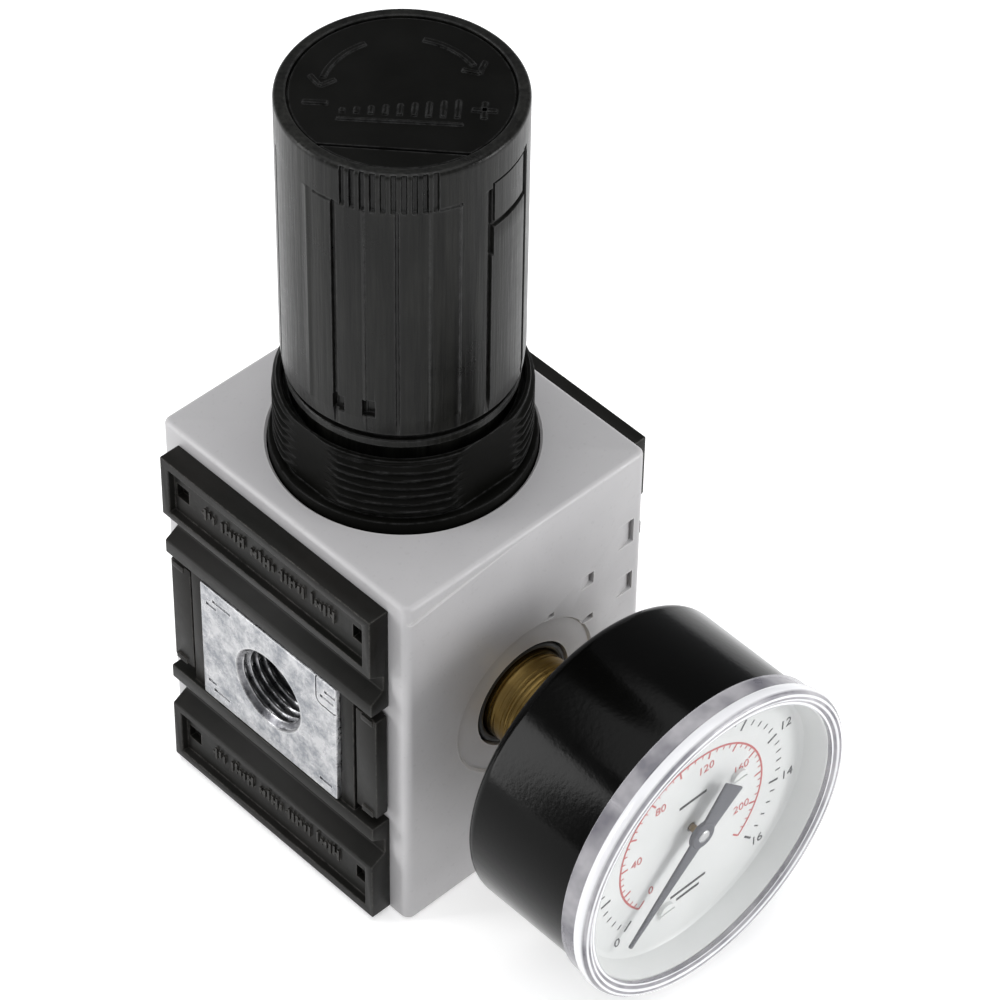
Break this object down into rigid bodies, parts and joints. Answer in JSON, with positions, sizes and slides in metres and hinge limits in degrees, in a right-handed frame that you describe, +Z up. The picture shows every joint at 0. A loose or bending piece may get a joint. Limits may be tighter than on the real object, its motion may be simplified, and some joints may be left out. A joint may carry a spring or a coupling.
{
  "type": "air pressure regulator",
  "caption": "Pneumatic pressure regulator with a tall push-to-lock knob on a threaded collar, a boxy housing with slotted coupling frames and a round dial gauge.",
  "frame": {"origin": "on the knob's axis, on the bottom face of the housing", "axes": "+Z up along the knob, +X from the inlet port to the outlet port, -Y towards the gauge"},
  "size_m": [0.052, 0.088, 0.1272],
  "materials": {
    "zinc": "bright zinc die-casting, machined on the port faces",
    "grey_housing": "light grey moulded cover, fine satin grain",
    "black_frame": "black glass-filled plastic, satin",
    "black_bonnet": "black plastic, satin",
    "black_knob": "black moulded grip, satin with fine grain",
    "rubber": "black nitrile",
    "gauge_black": "black lacquered case, semi-gloss",
    "clear_window": "clear moulded window, polished",
    "dial_white": "white printed dial",
    "pointer_grey": "dark grey painted pointer",
    "brass": "turned brass",
    "steel": "zinc-plated steel",
    "aluminium": "turned aluminium"
  },
  "bodies": {
    "housing": {"body_block": "zinc", "housing_shell": "grey_housing", "inlet_side_frame": "black_frame", "outlet_side_frame": "black_frame", "bonnet": "black_bonnet", "bonnet_screws": "steel", "thrust_washer": "brass", "control_spring": "steel", "diaphragm": "rubber", "valve_spring": "steel", "bottom_plug": "black_frame", "bottom_plug_o_ring": "rubber", "rear_port_plug": "black_frame", "rear_port_seal": "rubber", "gauge_stem": "brass", "gauge_stem_seal": "rubber", "gauge_case": "gauge_black", "gauge_window": "clear_window", "gauge_dial": "dial_white", "dial_screws": "steel", "dial_posts": "brass", "bourdon_tube": "brass", "tube_tip": "brass", "movement_rear_plate": "brass", "movement_front_plate": "brass", "movement_pillars": "brass", "movement_screws": "steel"},
    "spindle": {"spindle": "steel", "spindle_screw": "steel", "spindle_washer": "steel"},
    "knob": {"knob": "black_knob", "knob_cap": "black_knob"},
    "nut": {"spring_nut": "brass"},
    "diaphragm_group": {"diaphragm_plate": "aluminium", "relief_seat": "brass", "relief_retainer": "steel"},
    "valve": {"valve_stem": "steel", "valve_poppet": "brass", "valve_disc": "rubber"},
    "pointer": {"gauge_pointer": "pointer_grey", "pinion": "steel"},
    "sector": {"sector_gear": "brass"},
    "link": {"link": "steel"}
  },
  "joints": [
    {"name": "knob_turn", "type": "hinge", "parent": "housing", "child": "spindle", "pos_m": [0, 0, 0.1], "axis": [0, 0, -1], "range_deg": [0, 2160.1]},
    {"name": "knob_push", "type": "slide", "parent": "spindle", "child": "knob", "axis": [0, 0, 1], "range_m": [-0.0025, 0]},
    {"name": "nut_travel", "type": "slide", "parent": "housing", "child": "nut", "axis": [0, 0, -1], "range_m": [0, 0.009], "deforming": ["control_spring"]},
    {"name": "diaphragm_stroke", "type": "slide", "parent": "housing", "child": "diaphragm_group", "axis": [0, 0, -1], "range_m": [0, 0.0012], "stiffness_N_per_m": 1500, "springref_m": -0.002, "deforming": ["diaphragm", "control_spring"]},
    {"name": "valve_stroke", "type": "slide", "parent": "housing", "child": "valve", "axis": [0, 0, -1], "range_m": [0, 0.0012], "deforming": ["valve_spring"]},
    {"name": "pointer_turn", "type": "hinge", "parent": "housing", "child": "pointer", "pos_m": [0, -0.06, 0.03135], "axis": [0, 1, 0], "range_deg": [0, 270], "stiffness_Nm_per_rad": 0.00002, "springref_deg": -57.3},
    {"name": "sector_turn", "type": "hinge", "parent": "housing", "child": "sector", "pos_m": [0.00507, -0.0523, 0.02047], "axis": [0, 1, 0], "range_deg": [-54.5, 0]},
    {"name": "link_swing", "type": "hinge", "parent": "sector", "child": "link", "pos_m": [0.00864, -0.0523, 0.01866], "axis": [0, 1, 0], "range_deg": [0, 54.5]}
  ],
  "couplings": [
    {"joint": "knob_turn", "follows": "nut_travel", "rad_per_m": 4188.8},
    {"joint": "valve_stroke", "follows": "diaphragm_stroke", "ratio": 1},
    {"joint": "sector_turn", "follows": "pointer_turn", "ratio": -0.2},
    {"joint": "link_swing", "follows": "pointer_turn", "ratio": 0.2}
  ]
}
